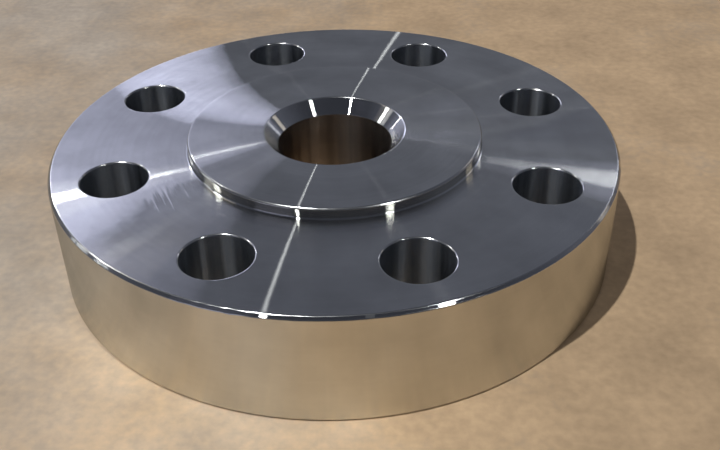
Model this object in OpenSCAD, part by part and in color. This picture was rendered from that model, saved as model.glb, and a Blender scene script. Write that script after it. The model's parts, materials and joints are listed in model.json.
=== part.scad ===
// Pipe flange turned from one forged blank: a thick ring with a low raised face,
// a through bore with a conical mouth, and a circle of plain bolt holes.
// It lies on its back face. The origin is the centre of that face, +Z runs up the bore
// to the raised face, and X lies midway between two bolt holes.
// Sizes are in millimetres.

/* [Ring] */
// Outside diameter of the ring
flange_d = 230; // [212:1:320]
// Thickness of the ring, from the back face to the face that the nuts sit on
ring_t = 45.5; // [12:0.5:80]
// Bevel on the rim's upper edge, across the rim
rim_bevel = 1.2; // [0.2:0.1:3]
// Bevel on the rim's lower edge
back_bevel = 0.8; // [0.2:0.1:3]

/* [Raised face] */
// Diameter of the raised gasket face
face_d = 120; // [70:1:150]
// Height of the raised face above the ring
face_h = 4.5; // [2:0.1:8]
// Bevel on the raised face's edge
face_bevel = 0.6; // [0.1:0.1:1.2]
// Fillet that the turning tool's nose leaves at the foot of the raised face
foot_r = 0.8; // [0.2:0.1:1.6]

/* [Bore] */
// Diameter of the through bore
bore_d = 47; // [20:0.5:54]
// Diameter of the conical mouth where it meets the raised face
mouth_d = 57.4; // [52:0.2:100]
// Depth of the conical mouth below the raised face
mouth_depth = 5.8; // [2:0.1:9]
// Width of the narrow land that breaks the mouth's upper edge
mouth_land = 0.4; // [0.1:0.1:0.8]
// Drop of that land into the mouth
mouth_land_drop = 0.2; // [0.1:0.1:0.6]
// Bevel on the bore's lower edge, at the back face
bore_bevel = 1; // [0.2:0.1:3]

/* [Bolt holes] */
// Number of bolt holes, evenly spaced
bolt_count = 8; // [4:1:12]
// Diameter of the circle through the bolt holes' centres
bolt_circle_d = 180; // [152:1:198]
// Diameter of each bolt hole
bolt_hole_d = 26; // [8:0.5:40]
// Bevel on both ends of each bolt hole
hole_bevel = 0.5; // [0.1:0.1:2]

/* [Hidden] */

// Facets round a circle, in preview only
$fn = 180;
// How far a cutting shape runs past the face that it cuts
past = 1;

flange_r = flange_d / 2;
face_r = face_d / 2;
bore_r = bore_d / 2;
mouth_r = mouth_d / 2;
top_z = ring_t + face_h;

// Half of the turned section, drawn in X and Y and later spun about Y.
// It starts at the bore's lower edge and goes round by the back, rim, ring and raised face.
module turned_section() {
    polygon([
        [bore_r + bore_bevel, 0],
        [flange_r - back_bevel, 0],
        [flange_r, back_bevel],
        [flange_r, ring_t - rim_bevel],
        [flange_r - rim_bevel, ring_t],
        [face_r, ring_t],
        [face_r, top_z - face_bevel],
        [face_r - face_bevel, top_z],
        [mouth_r + mouth_land, top_z],
        [mouth_r, top_z - mouth_land_drop],
        [bore_r, top_z - mouth_depth],
        [bore_r, bore_bevel]
    ]);
    foot_fillet();
}

// Concave fillet in the corner where the raised face's wall meets the ring
module foot_fillet() {
    difference() {
        translate([face_r - foot_r, ring_t - foot_r])
            square(2 * foot_r);
        translate([face_r + foot_r, ring_t + foot_r])
            circle(r = foot_r);
    }
}

// The turned blank, before it is drilled
module blank() {
    rotate_extrude()
        turned_section();
}

// One drill's path through the ring, with the bevel cut at both ends
module bolt_hole() {
    translate([0, 0, -past])
        cylinder(d = bolt_hole_d, h = ring_t + 2 * past);
    hole_bevel_cut();
    translate([0, 0, ring_t])
        mirror([0, 0, 1])
            hole_bevel_cut();
}

// Countersink that leaves a 45 degree bevel at the face z = 0 and runs out below it
module hole_bevel_cut() {
    translate([0, 0, -past])
        cylinder(
            d1 = bolt_hole_d + 2 * (hole_bevel + past),
            d2 = bolt_hole_d,
            h = hole_bevel + past
        );
}

// The holes lie on the bolt circle and straddle the X and Y axes
module bolt_holes() {
    step = 360 / bolt_count;
    for (i = [0 : bolt_count - 1])
        rotate([0, 0, (i + 0.5) * step])
            translate([bolt_circle_d / 2, 0, 0])
                bolt_hole();
}

module flange() {
    color([0.60, 0.61, 0.64])
        difference() {
            blank();
            bolt_holes();
        }
}

flange();
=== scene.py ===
"""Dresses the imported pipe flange: a finely turned body, a pale floor, studio lamps and the camera."""

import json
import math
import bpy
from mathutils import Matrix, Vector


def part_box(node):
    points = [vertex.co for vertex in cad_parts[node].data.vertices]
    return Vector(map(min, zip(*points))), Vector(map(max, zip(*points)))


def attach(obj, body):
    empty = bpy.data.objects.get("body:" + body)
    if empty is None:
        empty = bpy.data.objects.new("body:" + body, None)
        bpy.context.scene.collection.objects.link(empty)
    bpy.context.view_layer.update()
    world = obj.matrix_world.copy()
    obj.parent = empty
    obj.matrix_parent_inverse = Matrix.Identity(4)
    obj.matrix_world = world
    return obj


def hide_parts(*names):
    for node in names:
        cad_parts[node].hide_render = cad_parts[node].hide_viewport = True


bl_info = {
    "name": "Turned pipe flange",
    "version": (1, 0, 0),
    "blender": (4, 5, 0),
    "location": "View3D > Sidebar > Flange",
    "description": "Builds a turned and drilled pipe flange around its packed model, with a plain studio",
    "category": "Add Mesh",
}

import bmesh
import bpy
from bpy.props import FloatProperty, IntProperty, PointerProperty, StringProperty
from mathutils import Matrix, Vector, noise

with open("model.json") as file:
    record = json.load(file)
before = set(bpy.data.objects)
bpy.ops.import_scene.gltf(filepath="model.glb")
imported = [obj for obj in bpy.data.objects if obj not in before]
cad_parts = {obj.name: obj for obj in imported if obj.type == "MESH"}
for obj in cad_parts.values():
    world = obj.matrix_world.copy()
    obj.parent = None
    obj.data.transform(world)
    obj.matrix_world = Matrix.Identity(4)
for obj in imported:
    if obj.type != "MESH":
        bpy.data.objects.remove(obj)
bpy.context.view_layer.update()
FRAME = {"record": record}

MM = 0.001
NODE = "flange"
BODY = "root"
PIECE = "flange_body"

# What the frame says about the part, in metres
LOW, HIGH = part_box(NODE)
MOUNTS = {mount["name"]: mount for mount in FRAME["record"]["mounts"]}
FLANGE_R = (HIGH.x - LOW.x) / 2
TOP_Z = HIGH.z
RING_Z = MOUNTS["bolt_circle"]["pos_m"][2]
BOLT_CIRCLE_R = MOUNTS["bolt_circle"]["dims"]["pcd_mm"] * MM / 2
BOLT_HOLE_R = MOUNTS["bolt_circle"]["dims"]["hole_r_mm"] * MM
BOLT_COUNT = MOUNTS["bolt_circle"]["dims"]["count"]
BORE_R = MOUNTS["bore"]["dims"]["r_mm"] * MM

# Steps across the round that a bolt hole's bevel wore to
EDGE_STEPS = 6
# How often a turned edge wanders round the body, and how wide a nick in it is
EDGE_RIPPLES = 30
NICK_WIDTH_DEG = 0.9
# Nicks in the rim's upper edge: angle in degrees, and depth as a share of the wander
RIM_NICKS = ((-112, 1.5), (-108, 2), (-105.5, 1.5), (-103, 2.5), (-98.5, 1.5), (-92, 1))

# The points of a rounded edge lie this near to it, as a share of how far it is rounded
EDGE_SPAN = 1.2
# How much of the rim's wander the raised face's edge has
FACE_WANDER = 0.6
# Points closer than this are one point
SAME_POINT = 0.001 * MM

# Where the ring is scuffed: the middle and reach of the patch, and the way that its scratches run
SCUFF_CENTRE = (-56 * MM, -49 * MM, RING_Z)
SCUFF_REACH = 13 * MM
SCUFF_TURN = math.radians(-63)
# How wide a scratch is, how many times as long, and how steep its sides are
SCRATCH_WIDTH = 0.9 * MM
SCRATCH_LENGTH = 25
SCRATCH_SLOPE = 0.05

# Edges that turn further than this stay sharp
SHARP_DEG = 32
# A face that leans like this, as the upright part of its normal, is a deburred edge
EDGE_LEAN = (0.2, 0.995)
# The same for the flat of the rim's bevel, which stays as the tool left it
BEVEL_LEAN = math.sin(math.radians(45))
BEVEL_SLACK = 0.04
# Faces whose areas differ by less than this, in square metres, bend the shading alike
LIKE_AREA = 1e-8

# Turns a highlight's long side from along the tangent to across it
QUARTER_TURN = 0.25
# Torn metal between the grooves scatters a little light much further across them
TORN_ROUGHNESS = 0.255
TORN_STRETCH = 0.938
# The rim was cut more cleanly than the faces, so nothing is torn from here outwards
CLEAN_REACH = FLANGE_R - 0.5 * MM
# The noise keeps almost wholly between these two values
NOISE_LOW, NOISE_HIGH = 0.3, 0.7
# How deep the marks of a file and the pores of the floor are
PIT_DEPTH = 0.1 * MM

# The way across the floor in which it is painted darker, as painted shade, and where that starts and ends, in
# metres
SHADED_SIDE = (1.0, 0.0, 0.0)
SHADE_START, SHADE_END = -0.2, 0.05
# How much the grit shows in the stained clouds and the painted shade, and in how bright the floor is
GRIT_STAIN, GRIT_SHADE = 0.3, 0.2
# A painted pool of light in front of the flange, for the light that the rim throws onto the floor: its
# middle, where it starts and is complete, and how much brighter it is
LIGHT_POOL_CENTRE = (-25 * MM, -125 * MM, 0.0)
LIGHT_POOL_START, LIGHT_POOL_END = 140 * MM, 20 * MM
LIGHT_POOL_GAIN = 1.42

# The darker side of the room is behind the camera and overhead. The second line says how far towards
# that side the room starts to darken and is darkest, and the third how bright it then still is.
DARK_SIDE = (0.06, -0.6, 0.75)
DARK_START, DARK_END = 0.1, 0.7
DARK_LEVEL = 0.4

# How far the lamps stand from the flange, in metres
LAMP_DISTANCE = 4.0

# The photograph's frame in pixels, and the sensor that the lens is worked out for, in millimetres
FRAME_WIDTH_PX = 720
SENSOR_MM = 36.0


def linear(hex_colour):
    """An sRGB colour such as #C8B49B as linear red, green, blue and alpha."""
    parts = [int(hex_colour[i : i + 2], 16) / 255 for i in (1, 3, 5)]
    return [p / 12.92 if p <= 0.04045 else ((p + 0.055) / 1.055) ** 2.4 for p in parts] + [1.0]


def direction(azimuth, elevation):
    """The unit vector at that compass angle, counted from +X towards +Y, and height above the floor."""
    flat = math.cos(elevation)
    return Vector((flat * math.cos(azimuth), flat * math.sin(azimuth), math.sin(elevation)))


class FlangeSizes(bpy.types.PropertyGroup):
    """Sizes of the turned body that the frame doesn't give."""

    face_r: FloatProperty(
        name="Raised face radius",
        description="Radius of the raised gasket face",
        default=60 * MM,
        unit="LENGTH",
    )
    mouth_r: FloatProperty(
        name="Mouth radius",
        description="Radius of the conical mouth at the top",
        default=28.7 * MM,
        unit="LENGTH",
    )
    mouth_depth: FloatProperty(
        name="Mouth depth",
        description="Depth of the conical mouth",
        default=5.8 * MM,
        unit="LENGTH",
    )
    mouth_land: FloatProperty(
        name="Mouth land",
        description="Width of the narrow land round the mouth's upper edge",
        default=0.4 * MM,
        unit="LENGTH",
    )
    mouth_land_drop: FloatProperty(
        name="Land drop",
        description="Drop of that land into the mouth",
        default=0.2 * MM,
        unit="LENGTH",
    )
    rim_bevel: FloatProperty(
        name="Rim bevel",
        description="Bevel on the rim's upper edge",
        default=1.2 * MM,
        unit="LENGTH",
    )
    back_bevel: FloatProperty(
        name="Back bevel",
        description="Bevel on the rim's lower edge",
        default=0.8 * MM,
        unit="LENGTH",
    )
    face_bevel: FloatProperty(
        name="Face bevel",
        description="Bevel on the raised face's edge",
        default=0.6 * MM,
        unit="LENGTH",
    )
    bore_bevel: FloatProperty(
        name="Bore bevel",
        description="Bevel on the bore's lower edge",
        default=1.0 * MM,
        unit="LENGTH",
    )
    hole_bevel: FloatProperty(
        name="Hole bevel",
        description="Bevel on both ends of each bolt hole, a little wider than when new",
        default=0.7 * MM,
        unit="LENGTH",
    )
    foot_fillet: FloatProperty(
        name="Foot fillet",
        description="Fillet at the foot of the raised face",
        default=0.8 * MM,
        unit="LENGTH",
    )
    broken_edge: FloatProperty(
        name="Broken edge",
        description="How far the sharp corners are taken back",
        default=0.08 * MM,
        unit="LENGTH",
    )
    rim_round: FloatProperty(
        name="Rim round",
        description="How far the corners of the rim's upper bevel are rounded",
        default=0.35 * MM,
        unit="LENGTH",
    )
    face_round: FloatProperty(
        name="Face round",
        description="How far the corners of the raised face's bevel are rounded",
        default=0.2 * MM,
        unit="LENGTH",
    )
    edge_wander: FloatProperty(
        name="Edge wander",
        description="How far the rim's bevel wanders from its true width",
        default=0.1 * MM,
        unit="LENGTH",
    )
    turned_steps: IntProperty(
        name="Steps round the body",
        description="How many straight steps go round the turned body",
        default=480,
        min=48,
    )
    drilled_steps: IntProperty(
        name="Steps round a hole",
        description="How many straight steps go round a bolt hole",
        default=96,
        min=24,
    )


class FlangeFinish(bpy.types.PropertyGroup):
    """Colour and finish of the alloy."""

    alloy: StringProperty(
        name="Alloy",
        description="Colour of the bright alloy, as an sRGB hex value",
        default="#CFCEC7",
    )
    turned_roughness: FloatProperty(
        name="Turned roughness",
        description="Roughness of the turned surfaces",
        default=0.158,
        min=0.0,
        max=1.0,
    )
    turned_stretch: FloatProperty(
        name="Turned stretch",
        description="How far the tool marks stretch a highlight across them",
        default=0.88,
        min=0.0,
        max=1.0,
    )
    torn_share: FloatProperty(
        name="Torn share",
        description="Share of the light that torn metal between the grooves scatters further",
        default=0.0085,
        min=0.0,
        max=1.0,
        precision=4,
    )
    # The holes' colour is darker and cooler than the alloy's: painted shade in the holes
    hole_alloy_and_shade: StringProperty(
        name="Hole alloy",
        description="Colour of the alloy in the bolt holes, as an sRGB hex value",
        default="#B8BCC0",
    )
    # The bore's colour is browner and darker than the alloy's: a painted reflection of the warm floor, and
    # painted shade in the bore
    bore_alloy_and_reflection: StringProperty(
        name="Bore alloy",
        description="Colour of the alloy in the bore, which is browner and duller, as an sRGB hex value",
        default="#968B80",
    )
    drilled_roughness: FloatProperty(
        name="Drilled roughness",
        description="Roughness of the bolt holes and the bore",
        default=0.27,
        min=0.0,
        max=1.0,
    )
    edge_roughness: FloatProperty(
        name="Edge roughness",
        description="Roughness of the deburred edges",
        default=0.18,
        min=0.0,
        max=1.0,
    )


class StudioSettings(bpy.types.PropertyGroup):
    """Floor, room and camera."""

    floor: StringProperty(
        name="Floor",
        description="Colour of the floor, as an sRGB hex value",
        default="#A39583",
    )
    # The darker colour serves both the floor's stained clouds and its painted shade towards one side
    floor_stain_and_shade: StringProperty(
        name="Floor stain",
        description="Colour of the floor's darker clouds, as an sRGB hex value",
        default="#AB906F",
    )
    room: StringProperty(
        name="Room",
        description="Colour of the dim room round the lamps, as an sRGB hex value",
        default="#5D6170",
    )
    floor_size: FloatProperty(
        name="Floor size",
        description="Length of the floor's side",
        default=12.0,
        unit="LENGTH",
    )
    camera_distance: FloatProperty(
        name="Camera distance",
        description="From the centre of the ring's face to the camera",
        default=390.8 * MM,
        unit="LENGTH",
    )
    camera_azimuth: FloatProperty(
        name="Camera azimuth",
        description="Compass angle of the camera, from +X towards +Y",
        default=math.radians(-84.78),
        unit="ROTATION",
    )
    camera_elevation: FloatProperty(
        name="Camera elevation",
        description="Height angle of the camera above the ring's face",
        default=math.radians(29.09),
        unit="ROTATION",
    )
    camera_pan: FloatProperty(
        name="Camera pan",
        description="Turn of the camera away from the centre, to the left",
        default=math.radians(1.34),
        unit="ROTATION",
    )
    camera_tilt: FloatProperty(
        name="Camera tilt",
        description="Tilt of the camera below the centre",
        default=math.radians(5.31),
        unit="ROTATION",
    )
    camera_roll: FloatProperty(
        name="Camera roll",
        description="Turn of the camera about its own line of sight",
        default=math.radians(1.93),
        unit="ROTATION",
    )
    focal_px: FloatProperty(
        name="Focal length",
        description="Focal length in pixels of the photograph's 720 pixel frame",
        default=943.4,
    )


def add_node(tree, kind, inputs=None, **settings):
    """Adds a node, sets its properties, and links or sets its inputs, which are given by name or number."""
    node = tree.nodes.new(kind)
    for name, value in settings.items():
        setattr(node, name, value)
    for key, value in (inputs or {}).items():
        if isinstance(value, bpy.types.NodeSocket):
            tree.links.new(value, node.inputs[key])
        else:
            node.inputs[key].default_value = value
    return node


def turned_section(sizes):
    """The turned section as one face in the XZ plane, with its corners broken and its foot filleted."""
    corners = [
        (BORE_R + sizes.bore_bevel, 0),
        (FLANGE_R - sizes.back_bevel, 0),
        (FLANGE_R, sizes.back_bevel),
        (FLANGE_R, RING_Z - sizes.rim_bevel),
        (FLANGE_R - sizes.rim_bevel, RING_Z),
        (sizes.face_r, RING_Z),
        (sizes.face_r, TOP_Z - sizes.face_bevel),
        (sizes.face_r - sizes.face_bevel, TOP_Z),
        (sizes.mouth_r + sizes.mouth_land, TOP_Z),
        (sizes.mouth_r, TOP_Z - sizes.mouth_land_drop),
        (BORE_R, TOP_Z - sizes.mouth_depth),
        (BORE_R, sizes.bore_bevel),
    ]
    bm = bmesh.new()
    points = [bm.verts.new((r, 0, z)) for r, z in corners]
    bm.faces.new(points)
    rounded = (
        (points[5:6], sizes.foot_fillet, 6),
        (points[3:5], sizes.rim_round, 4),
        (points[6:8], sizes.face_round, 3),
        (points[:3] + points[8:], sizes.broken_edge, 2),
    )
    for bends, reach, segments in rounded:
        bmesh.ops.bevel(
            bm,
            geom=bends,
            offset=reach,
            offset_type="OFFSET",
            segments=segments,
            profile=0.5,
            affect="VERTICES",
            material=-1,
        )
    bmesh.ops.delete(bm, geom=bm.faces[:], context="FACES_ONLY")
    return bm


def spin_solid(bm, steps, centre=(0.0, 0.0, 0.0)):
    """Spins the bmesh's outline about a vertical axis through centre into a closed solid."""
    bmesh.ops.spin(
        bm,
        geom=bm.verts[:] + bm.edges[:],
        cent=centre,
        axis=(0, 0, 1),
        angle=math.tau,
        steps=steps,
        use_merge=True,
    )
    bmesh.ops.remove_doubles(bm, verts=bm.verts[:], dist=SAME_POINT)
    bmesh.ops.recalc_face_normals(bm, faces=bm.faces[:])


def wear_edge(bm, radius, height, way, reach, near, nicks=()):
    """Lets a turned edge wander by up to reach along way, which is (outward, upward), with a few nicks.

    The points within near of the edge move. Each nick is (angle in degrees, depth as a share of reach).
    """
    for vert in bm.verts:
        out = Vector((vert.co.x, vert.co.y, 0))
        if abs(out.length - radius) > near or abs(vert.co.z - height) > near:
            continue
        angle = math.degrees(math.atan2(out.y, out.x))
        bearing = out.normalized()
        shift = noise.noise(bearing * EDGE_RIPPLES + Vector((0, 0, radius / MM)))
        shift += sum(depth * math.exp(-(((angle - at) / NICK_WIDTH_DEG) ** 2)) for at, depth in nicks)
        vert.co += (bearing * way[0] + Vector((0, 0, way[1]))) * shift * reach


def mesh_object(bm, name):
    """Turns a bmesh into an object at the origin."""
    mesh = bpy.data.meshes.new(name)
    bm.to_mesh(mesh)
    bm.free()
    obj = bpy.data.objects.new(name, mesh)
    bpy.context.scene.collection.objects.link(obj)
    return obj


def hole_centres():
    """Centres of the bolt holes, which straddle the X and Y axes."""
    step = math.tau / BOLT_COUNT
    return [
        Vector((BOLT_CIRCLE_R * math.cos((i + 0.5) * step), BOLT_CIRCLE_R * math.sin((i + 0.5) * step), 0))
        for i in range(BOLT_COUNT)
    ]


def drill_paths(sizes):
    """All the drills' paths as one mesh: straight walls that flare at both ends for the bevels."""
    past = 1.0 * MM
    bevel = sizes.hole_bevel
    half = [(0, RING_Z + past), (BOLT_HOLE_R + bevel + past * 2, RING_Z + past)]
    for i in range(EDGE_STEPS + 1):
        turn = math.radians(90 * i / EDGE_STEPS)
        half.append((BOLT_HOLE_R + bevel * (1 - math.sin(turn)), RING_Z - bevel * (1 - math.cos(turn))))
    outline = half + [(r, RING_Z - z) for r, z in reversed(half)]
    whole = bmesh.new()
    for centre in hole_centres():
        bm = bmesh.new()
        points = [bm.verts.new(centre + Vector((r, 0, z))) for r, z in outline]
        for a, b in zip(points, points[1:]):
            bm.edges.new((a, b))
        spin_solid(bm, sizes.drilled_steps, centre)
        part = bpy.data.meshes.new("drill_path")
        bm.to_mesh(part)
        bm.free()
        whole.from_mesh(part)
        bpy.data.meshes.remove(part)
    return mesh_object(whole, "drill_paths")


def bake_modifier(body, kind, **settings):
    """Applies one modifier to the body's mesh for good."""
    modifier = body.modifiers.new(kind, kind)
    for name, value in settings.items():
        setattr(modifier, name, value)
    bpy.context.view_layer.update()
    evaluated = body.evaluated_get(bpy.context.evaluated_depsgraph_get())
    finished = bpy.data.meshes.new_from_object(evaluated)
    body.modifiers.clear()
    old = body.data
    body.data = finished
    finished.name = old.name
    bpy.data.meshes.remove(old)


def smooth_shading(body):
    """Smooths the small rounded edges and leaves the large flat faces truly flat in their shading."""
    body.data.shade_smooth()
    body.data.set_sharp_from_angle(angle=math.radians(SHARP_DEG))
    bake_modifier(
        body, "WEIGHTED_NORMAL", mode="FACE_AREA", weight=100, thresh=LIKE_AREA, keep_sharp=True
    )


def start_material(name):
    """A new material with an empty node tree, and the piece's own coordinates in it."""
    material = bpy.data.materials.new(name)
    material.use_nodes = True
    tree = material.node_tree
    tree.nodes.clear()
    return material, tree, add_node(tree, "ShaderNodeTexCoord").outputs["Object"]


def lay_of(tree, local):
    """The way that the circular tool marks run, at a place measured from the axis that they run round."""
    round_axis = add_node(tree, "ShaderNodeVectorMath", {0: (0, 0, 1), 1: local}, operation="CROSS_PRODUCT")
    lay = add_node(tree, "ShaderNodeVectorMath", {0: round_axis.outputs[0]}, operation="NORMALIZE")
    return lay.outputs[0]


def section_of(tree, local):
    """Distance from the axis and height, as one vector that is the same all the way round."""
    flat = add_node(tree, "ShaderNodeVectorMath", {0: local, 1: (1, 1, 0)}, operation="MULTIPLY")
    reach = add_node(tree, "ShaderNodeVectorMath", {0: flat.outputs[0]}, operation="LENGTH")
    parts = add_node(tree, "ShaderNodeSeparateXYZ", {0: local})
    spot = {"X": reach.outputs["Value"], "Y": parts.outputs["Z"]}
    return add_node(tree, "ShaderNodeCombineXYZ", spot).outputs[0]


def waver(tree, place, length, low, high, detail=2.0):
    """Smooth noise with waves of that length, between two values."""
    wave = add_node(tree, "ShaderNodeTexNoise", {"Vector": place, "Scale": 1 / length, "Detail": detail})
    spread = {"Value": wave.outputs[0], 1: NOISE_LOW, 2: NOISE_HIGH, 3: low, 4: high}
    return add_node(tree, "ShaderNodeMapRange", spread).outputs[0]


def tilted_normal(tree, along, slopes):
    """The turned surface's normal, tilted by a slope across the tool marks and by another along them.

    A turned surface never leans along its marks, so whatever lean the mesh has that way is taken out first.
    """
    normal = add_node(tree, "ShaderNodeNewGeometry").outputs["Normal"]
    lean = add_node(tree, "ShaderNodeVectorMath", {0: normal, 1: along}, operation="DOT_PRODUCT")
    amount = lean.outputs["Value"]
    stray = add_node(tree, "ShaderNodeVectorMath", {0: along, "Scale": amount}, operation="SCALE")
    across = add_node(tree, "ShaderNodeVectorMath", {0: along, 1: normal}, operation="CROSS_PRODUCT")
    true = add_node(tree, "ShaderNodeVectorMath", {0: normal, 1: stray.outputs[0]}, operation="SUBTRACT")
    normal = true.outputs[0]
    for way, slope in zip((across.outputs[0], along), slopes):
        step = add_node(tree, "ShaderNodeVectorMath", {0: way, "Scale": slope}, operation="SCALE")
        tilted = add_node(tree, "ShaderNodeVectorMath", {0: normal, 1: step.outputs[0]}, operation="ADD")
        normal = tilted.outputs[0]
    return add_node(tree, "ShaderNodeVectorMath", {0: normal}, operation="NORMALIZE").outputs[0]


def scuffs(tree, place):
    """Slopes along the tool marks where the ring was scuffed, and faintly where it was wiped."""
    patch = add_node(tree, "ShaderNodeVectorMath", {0: place, 1: SCUFF_CENTRE}, operation="DISTANCE")
    inside = add_node(
        tree,
        "ShaderNodeMapRange",
        {"Value": patch.outputs["Value"], 1: SCUFF_REACH, 2: 0.0, 3: 0.0, 4: SCRATCH_SLOPE},
    )
    stretch = {"Vector": place, "Rotation": (0, 0, SCUFF_TURN), "Scale": (SCRATCH_LENGTH, 1, 1)}
    turn = add_node(tree, "ShaderNodeMapping", stretch, vector_type="TEXTURE")
    scratch = waver(tree, turn.outputs[0], SCRATCH_WIDTH, -1.0, 1.0)
    worn = add_node(tree, "ShaderNodeMath", {0: inside.outputs[0], 1: scratch}, operation="MULTIPLY")
    wipe = waver(tree, place, 35 * MM, -0.5, 1.0, detail=3.0)
    swirl = waver(tree, place, 7 * MM, -0.004, 0.004)
    wiped = add_node(tree, "ShaderNodeMath", {0: wipe, 1: swirl}, operation="MULTIPLY")
    both = {0: worn.outputs[0], 1: wiped.outputs[0]}
    return add_node(tree, "ShaderNodeMath", both, operation="ADD").outputs[0]


def turned_alloy(finish):
    """Bright nickel alloy, finely turned.

    The tool leaves fine circular grooves. They keep a highlight narrow along the groove and spread it
    wide across, so each lamp shows as a thin line from the bore to the rim.
    """
    material, tree, place = start_material("Fine turned nickel alloy")
    along = lay_of(tree, place)
    section = section_of(tree, place)
    # Bands where the tool cut a little differently, and the feed marks, drawn coarser than the real ones
    band = waver(tree, section, 9 * MM, -0.004, 0.004)
    feed = waver(tree, section, 0.9 * MM, -0.012, 0.012, detail=3.0)
    across_slope = add_node(tree, "ShaderNodeMath", {0: band, 1: feed}, operation="ADD").outputs[0]
    fine = waver(tree, place, 5 * MM, -0.0008, 0.0008)
    along_slope = add_node(tree, "ShaderNodeMath", {0: fine, 1: scuffs(tree, place)}, operation="ADD")
    normal = tilted_normal(tree, along, (across_slope, along_slope.outputs[0]))
    # Handling has left faint clouds, where the finish is a little duller
    low, high = finish.turned_roughness * 0.94, finish.turned_roughness * 1.1
    cloud = waver(tree, place, 22 * MM, low, high, detail=4.0)
    film = waver(tree, place, 26 * MM, 0.87, 1.13, detail=5.0)
    hairline = waver(tree, section, 1.6 * MM, 0.985, 1.015, detail=3.0)
    shade = add_node(tree, "ShaderNodeMath", {0: film, 1: hairline}, operation="MULTIPLY")
    bright = linear(finish.alloy)[:3]
    colour = add_node(tree, "ShaderNodeVectorMath", {0: bright, "Scale": shade.outputs[0]}, operation="SCALE")
    lobes = []
    for roughness, stretch in ((cloud, finish.turned_stretch), (TORN_ROUGHNESS, TORN_STRETCH)):
        lobe = add_node(
            tree,
            "ShaderNodeBsdfAnisotropic",
            {
                "Color": colour.outputs[0],
                "Roughness": roughness,
                "Anisotropy": stretch,
                "Normal": normal,
                "Tangent": along,
            },
            distribution="BECKMANN",
        )
        lobes.append(lobe.outputs[0])
    reach = add_node(tree, "ShaderNodeSeparateXYZ", {0: section}).outputs["X"]
    on_face = add_node(tree, "ShaderNodeMath", {0: reach, 1: CLEAN_REACH}, operation="LESS_THAN").outputs[0]
    torn = add_node(tree, "ShaderNodeMath", {0: on_face, 1: finish.torn_share}, operation="MULTIPLY")
    shader = add_node(tree, "ShaderNodeMixShader", {0: torn.outputs[0], 1: lobes[0], 2: lobes[1]})
    add_node(tree, "ShaderNodeOutputMaterial", {"Surface": shader.outputs[0]})
    return material


def drilled_alloy(finish):
    """The same alloy, drilled and bored: coarser and duller, with marks round each hole's own axis."""
    material, tree, place = start_material("Drilled nickel alloy")
    parts = add_node(tree, "ShaderNodeSeparateXYZ", {0: place})
    sides = {0: parts.outputs["Y"], 1: parts.outputs["X"]}
    angle = add_node(tree, "ShaderNodeMath", sides, operation="ARCTAN2")
    # Each place belongs to the hole in whose sector it lies, or to the bore
    step = math.tau / BOLT_COUNT
    sector = add_node(tree, "ShaderNodeMath", {0: angle.outputs[0], 1: step}, operation="DIVIDE")
    whole = add_node(tree, "ShaderNodeMath", {0: sector.outputs[0]}, operation="FLOOR")
    middle = add_node(
        tree, "ShaderNodeMath", {0: whole.outputs[0], 1: step, 2: step / 2}, operation="MULTIPLY_ADD"
    )
    centre = add_node(
        tree,
        "ShaderNodeVectorRotate",
        {"Vector": (BOLT_CIRCLE_R, 0, 0), "Angle": middle.outputs[0]},
        rotation_type="Z_AXIS",
    )
    flat = add_node(tree, "ShaderNodeVectorMath", {0: place, 1: (1, 1, 0)}, operation="MULTIPLY")
    reach = add_node(tree, "ShaderNodeVectorMath", {0: flat.outputs[0]}, operation="LENGTH").outputs["Value"]
    halfway = (BORE_R + BOLT_CIRCLE_R - BOLT_HOLE_R) / 2
    is_hole = add_node(tree, "ShaderNodeMath", {0: reach, 1: halfway}, operation="GREATER_THAN")
    axis = add_node(
        tree, "ShaderNodeVectorMath", {0: centre.outputs[0], "Scale": is_hole.outputs[0]}, operation="SCALE"
    )
    local = add_node(tree, "ShaderNodeVectorMath", {0: place, 1: axis.outputs[0]}, operation="SUBTRACT")
    along = lay_of(tree, local.outputs[0])
    section = section_of(tree, local.outputs[0])
    # The drill's lips leave a slow spiral, too shallow here to show as more than bands
    across_slope = waver(tree, section, 1.5 * MM, -0.015, 0.015, detail=3.0)
    # Chatter leaves upright bands
    along_slope = waver(tree, flat.outputs[0], 2.2 * MM, -0.08, 0.08, detail=3.0)
    # Upright bands of lighter and darker colour: partly the tone of the chatter, partly painted reflection of
    # the bands seen in the bore and holes
    chatter_and_reflection_bands = waver(tree, flat.outputs[0], 3.5 * MM, 0.65, 1.15, detail=4.0)
    # Painted shade: the holes and the bore take darker colours than the turned alloy, and the bore's browner
    # one is a painted reflection of the warm floor
    colour = add_node(
        tree,
        "ShaderNodeMix",
        {"Factor": is_hole.outputs[0], 6: linear(finish.bore_alloy_and_reflection), 7: linear(finish.hole_alloy_and_shade)},
        data_type="RGBA",
    )
    tone = add_node(tree, "ShaderNodeVectorMath", {0: colour.outputs[2], "Scale": chatter_and_reflection_bands}, operation="SCALE")
    shader = add_node(
        tree,
        "ShaderNodeBsdfPrincipled",
        {
            "Base Color": tone.outputs[0],
            "Metallic": 1.0,
            "Roughness": finish.drilled_roughness,
            "Anisotropic": 0.9,
            "Anisotropic Rotation": QUARTER_TURN,
            "Normal": tilted_normal(tree, along, (across_slope, along_slope)),
            "Tangent": along,
        },
    )
    add_node(tree, "ShaderNodeOutputMaterial", {"Surface": shader.outputs[0]})
    return material


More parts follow.
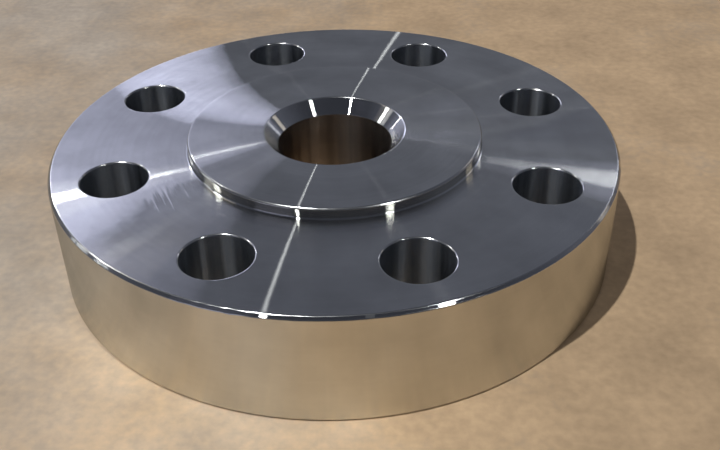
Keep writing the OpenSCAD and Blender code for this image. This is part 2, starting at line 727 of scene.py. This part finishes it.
def edge_alloy(finish):
    """The same alloy where an edge was deburred by hand: no lay, so it glints from every side."""
    material, tree, place = start_material("Deburred nickel alloy")
    rub = waver(tree, place, 2.5 * MM, 0.0, 1.0)
    bump = add_node(tree, "ShaderNodeBump", {"Strength": 0.08, "Distance": PIT_DEPTH, "Height": rub})
    shader = add_node(
        tree,
        "ShaderNodeBsdfPrincipled",
        {
            "Base Color": linear(finish.alloy),
            "Metallic": 1.0,
            "Roughness": finish.edge_roughness,
            "Normal": bump.outputs[0],
        },
    )
    add_node(tree, "ShaderNodeOutputMaterial", {"Surface": shader.outputs[0]})
    return material


def finish_of(face, points, sizes):
    """Which finish a face of the body has: 0 for turned, 1 for drilled, 2 for a deburred edge."""
    reach, height = math.hypot(face.center.x, face.center.y), face.center.z
    margin = 2 * sizes.broken_edge
    foot = sizes.foot_fillet
    in_mouth = BORE_R + margin < reach < sizes.mouth_r - margin and height > RING_Z - sizes.mouth_depth
    in_foot = sizes.face_r < reach < sizes.face_r + foot and height < RING_Z + foot
    on_bevel = reach > FLANGE_R - sizes.rim_bevel and abs(face.normal.z - BEVEL_LEAN) < BEVEL_SLACK
    if EDGE_LEAN[0] < abs(face.normal.z) < EDGE_LEAN[1] and not (in_mouth or in_foot or on_bevel):
        return 2
    if reach < BORE_R + margin and height < TOP_Z - sizes.mouth_depth:
        return 1
    hole_reach = BOLT_HOLE_R + sizes.hole_bevel + sizes.broken_edge
    corners = [points[i].co * Vector((1, 1, 0)) for i in face.vertices]
    return int(any(all((p - c).length < hole_reach for p in corners) for c in hole_centres()))


def floor_material(studio):
    """Smooth worn concrete, sealed with a matt coat: pale, warm and faintly cloudy, with no shine."""
    material, tree, place = start_material("Sealed pale concrete")
    cloud = waver(tree, place, 90 * MM, -0.3, 0.5, detail=6.0)
    grit = waver(tree, place, 4 * MM, -0.5, 0.5, detail=4.0)
    # Painted shade: one side of the floor, towards +X, is painted darker than the other, on top of the real
    # stained clouds
    side = add_node(tree, "ShaderNodeVectorMath", {0: place, 1: SHADED_SIDE}, operation="DOT_PRODUCT")
    deepening = {"Value": side.outputs["Value"], 1: SHADE_START, 2: SHADE_END}
    deep = add_node(tree, "ShaderNodeMapRange", deepening)
    stain_and_shade = add_node(tree, "ShaderNodeMath", {0: cloud, 1: deep.outputs[0]}, operation="ADD")
    spotted = {0: grit, 1: GRIT_STAIN, 2: stain_and_shade.outputs[0]}
    mottle_and_shade = add_node(tree, "ShaderNodeMath", spotted, operation="MULTIPLY_ADD")
    colour = add_node(
        tree,
        "ShaderNodeMix",
        {"Factor": mottle_and_shade.outputs[0], 6: linear(studio.floor), 7: linear(studio.floor_stain_and_shade)},
        data_type="RGBA",
    )
    # Painted light: in front of the flange the floor is painted paler, as a pool of the light that the rim
    # throws
    off = add_node(tree, "ShaderNodeVectorMath", {0: place, 1: LIGHT_POOL_CENTRE}, operation="DISTANCE")
    pale = add_node(
        tree,
        "ShaderNodeMapRange",
        {"Value": off.outputs["Value"], 1: LIGHT_POOL_START, 2: LIGHT_POOL_END, 3: 1.0, 4: LIGHT_POOL_GAIN},
        interpolation_type="SMOOTHSTEP",
    )
    speckle = add_node(tree, "ShaderNodeMath", {0: grit, 1: GRIT_SHADE, 2: 1.0}, operation="MULTIPLY_ADD")
    patchy = waver(tree, place, 30 * MM, 0.87, 1.13, detail=6.0)
    uneven = add_node(tree, "ShaderNodeMath", {0: speckle.outputs[0], 1: patchy}, operation="MULTIPLY")
    level = add_node(tree, "ShaderNodeMath", {0: uneven.outputs[0], 1: pale.outputs[0]}, operation="MULTIPLY")
    tone = add_node(
        tree, "ShaderNodeVectorMath", {0: colour.outputs[2], "Scale": level.outputs[0]}, operation="SCALE"
    )
    bump = add_node(tree, "ShaderNodeBump", {"Strength": 0.5, "Distance": PIT_DEPTH, "Height": grit})
    shader = add_node(
        tree,
        "ShaderNodeBsdfPrincipled",
        {
            "Base Color": tone.outputs[0],
            "Roughness": 0.85,
            "Specular IOR Level": 0.2,
            "Normal": bump.outputs[0],
        },
    )
    add_node(tree, "ShaderNodeOutputMaterial", {"Surface": shader.outputs[0]})
    return material


class FLANGE_OT_body(bpy.types.Operator):
    """Turns the flange's body from its section, drills the bolt holes and finishes its surfaces"""

    bl_idname = "flange.body"
    bl_label = "Flange body"
    bl_options = {"REGISTER", "UNDO"}

    def execute(self, context):
        sizes = context.scene.flange_sizes
        finish = context.scene.flange_finish
        section = turned_section(sizes)
        spin_solid(section, sizes.turned_steps)
        inward, down = (-1, 0), (0, -1)
        bevel, wander, near = sizes.rim_bevel, sizes.edge_wander, sizes.rim_round * EDGE_SPAN
        wear_edge(section, FLANGE_R - bevel, RING_Z, inward, wander, near, RIM_NICKS)
        wear_edge(section, FLANGE_R, RING_Z - bevel, down, wander, near, RIM_NICKS)
        bevel, wander, near = sizes.face_bevel, sizes.edge_wander * FACE_WANDER, sizes.face_round * EDGE_SPAN
        wear_edge(section, sizes.face_r - bevel, TOP_Z, inward, wander, near)
        wear_edge(section, sizes.face_r, TOP_Z - bevel, down, wander, near)
        body = mesh_object(section, PIECE)
        drills = drill_paths(sizes)
        bake_modifier(body, "BOOLEAN", operation="DIFFERENCE", solver="EXACT", object=drills)
        bpy.data.objects.remove(drills)
        mesh = body.data
        mesh.materials.clear()
        mesh.materials.append(turned_alloy(finish))
        mesh.materials.append(drilled_alloy(finish))
        mesh.materials.append(edge_alloy(finish))
        for face in mesh.polygons:
            face.material_index = finish_of(face, mesh.vertices, sizes)
        smooth_shading(body)
        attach(body, BODY)
        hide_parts(NODE)
        return {"FINISHED"}


def add_lamp(name, azimuth, elevation, spread, strength, colour):
    """A round lamp that faces the flange. Spread is its half angle seen from the flange.

    The three angles are in degrees.
    """
    radius = LAMP_DISTANCE * math.tan(math.radians(spread))
    data = bpy.data.lights.new(name, "AREA")
    data.shape = "DISK"
    data.size = 2 * radius
    data.color = linear(colour)[:3]
    # A lamp of this power has a brightness of strength, where 1 is white
    data.energy = strength * math.pi * math.pi * radius**2
    lamp = bpy.data.objects.new(name, data)
    target = Vector((0, 0, RING_Z))
    place = direction(math.radians(azimuth), math.radians(elevation)) * LAMP_DISTANCE + target
    aim = (target - place).to_track_quat("-Z", "Y").to_matrix().to_4x4()
    lamp.matrix_world = Matrix.Translation(place) @ aim
    lamp.visible_camera = False
    bpy.context.scene.collection.objects.link(lamp)


def add_camera(studio):
    """The camera at the photograph's place, turned as the photograph's camera was."""
    target = Vector((0, 0, RING_Z))
    azimuth = studio.camera_azimuth
    away = direction(azimuth, studio.camera_elevation)
    right = Vector((-math.sin(azimuth), math.cos(azimuth), 0))
    up = away.cross(right)
    level = Matrix((right, up, away))
    turn = (
        Matrix.Rotation(studio.camera_roll, 3, "Z")
        @ Matrix.Rotation(studio.camera_tilt, 3, "X")
        @ Matrix.Rotation(studio.camera_pan, 3, "Y")
    )
    data = bpy.data.cameras.new("camera")
    data.sensor_width = SENSOR_MM
    data.lens = studio.focal_px * SENSOR_MM / FRAME_WIDTH_PX
    data.clip_start = 1.0 * MM
    camera = bpy.data.objects.new("camera", data)
    place = target + away * studio.camera_distance
    camera.matrix_world = Matrix.Translation(place) @ (turn @ level).transposed().to_4x4()
    bpy.context.scene.collection.objects.link(camera)
    bpy.context.scene.camera = camera


def add_floor(studio):
    """The floor that the flange lies on."""
    bm = bmesh.new()
    bmesh.ops.create_grid(bm, x_segments=1, y_segments=1, size=studio.floor_size / 2)
    floor = mesh_object(bm, "floor")
    floor.data.materials.append(floor_material(studio))


def add_world(studio):
    """A dim, slightly blue room, darker behind the camera and overhead."""
    world = bpy.data.worlds.new("dim room")
    bpy.context.scene.world = world
    world.use_nodes = True
    tree = world.node_tree
    tree.nodes.clear()
    way = add_node(tree, "ShaderNodeTexCoord").outputs["Generated"]
    ahead = add_node(tree, "ShaderNodeVectorMath", {0: way, 1: DARK_SIDE}, operation="DOT_PRODUCT")
    dim = add_node(
        tree,
        "ShaderNodeMapRange",
        {"Value": ahead.outputs["Value"], 1: DARK_START, 2: DARK_END, 3: 1.0, 4: DARK_LEVEL},
    )
    back = add_node(tree, "ShaderNodeBackground", {"Color": linear(studio.room), "Strength": dim.outputs[0]})
    add_node(tree, "ShaderNodeOutputWorld", {"Surface": back.outputs[0]})


# The colours of the light: lamps and tubes, daylight from the left, and what warm walls throw back
LAMP_WHITE = "#F4F8FF"
DAYLIGHT = "#D8DCFF"
WARM_WHITE = "#FFF4E6"

LAMPS = (
    # Name, azimuth, elevation and half angle in degrees, brightness where 1 is white, colour
    # The key lamp throws the shadow and draws the line from the bore to the rim
    ("key lamp", -134, 66, 0.55, 9500, LAMP_WHITE),
    # Two lamps give the side dots on the holes' far edges
    ("right front lamp", -40, 45, 2.5, 75, LAMP_WHITE),
    ("far left lamp", 160, 40, 2.5, 40, LAMP_WHITE),
    # A tube behind to the left draws the thin line at the left, inside a glow
    ("left tube", 130, 28, 1, 160, LAMP_WHITE),
    ("left tube glow", 125, 30, 3, 2, LAMP_WHITE),
    # Another behind to the right makes the bright wedge at the right
    ("right tube", 60, 28, 2, 10, LAMP_WHITE),
    ("right tube glow", 58, 28, 5, 1.5, DAYLIGHT),
    ("far right lamp", 35, 25, 4, 2, WARM_WHITE),
    # The window lights the left half of the ring
    ("left window", 120, 20, 15, 0.85, DAYLIGHT),
    ("bright pane", 130, 30, 8, 0.9, DAYLIGHT),
    ("high pane", 118, 38, 8, 0.5, DAYLIGHT),
    ("window sill", 109, 15, 5, 4, DAYLIGHT),
    # Pale walls and doors round the room
    ("high left wall", 148, 45, 8, 0.9, WARM_WHITE),
    ("left wall", 168, 18, 5, 2, LAMP_WHITE),
    ("near left wall", -130, 10, 15, 0.5, DAYLIGHT),
    ("back wall", 90, 10, 20, 0.1, LAMP_WHITE),
    ("right wall", 65, 25, 10, 0.1, LAMP_WHITE),
)


class FLANGE_OT_stage(bpy.types.Operator):
    """Sets the floor, the lamps and the camera round the flange"""

    bl_idname = "flange.stage"
    bl_label = "Stage"
    bl_options = {"REGISTER", "UNDO"}

    def execute(self, context):
        studio = context.scene.flange_studio
        add_floor(studio)
        add_world(studio)
        for lamp in LAMPS:
            add_lamp(*lamp)
        add_camera(studio)
        context.scene.view_settings.view_transform = "Standard"
        return {"FINISHED"}


class VIEW3D_PT_flange(bpy.types.Panel):
    """Lists the flange's sizes, its finish and the studio's settings, and builds them"""

    bl_label = "Pipe flange"
    bl_space_type = "VIEW_3D"
    bl_region_type = "UI"
    bl_category = "Flange"

    def draw(self, context):
        layout = self.layout
        for group in (context.scene.flange_sizes, context.scene.flange_finish, context.scene.flange_studio):
            box = layout.box()
            for name in group.__annotations__:
                box.prop(group, name)
        layout.operator(FLANGE_OT_body.bl_idname)
        layout.operator(FLANGE_OT_stage.bl_idname)


CLASSES = (
    FlangeSizes,
    FlangeFinish,
    StudioSettings,
    FLANGE_OT_body,
    FLANGE_OT_stage,
    VIEW3D_PT_flange,
)


def register():
    for cls in CLASSES:
        bpy.utils.register_class(cls)
    bpy.types.Scene.flange_sizes = PointerProperty(type=FlangeSizes)
    bpy.types.Scene.flange_finish = PointerProperty(type=FlangeFinish)
    bpy.types.Scene.flange_studio = PointerProperty(type=StudioSettings)


def unregister():
    del bpy.types.Scene.flange_studio
    del bpy.types.Scene.flange_finish
    del bpy.types.Scene.flange_sizes
    for cls in reversed(CLASSES):
        bpy.utils.unregister_class(cls)


def main():
    register()
    bpy.ops.flange.body()
    bpy.ops.flange.stage()


if __name__ == "__main__":
    main()
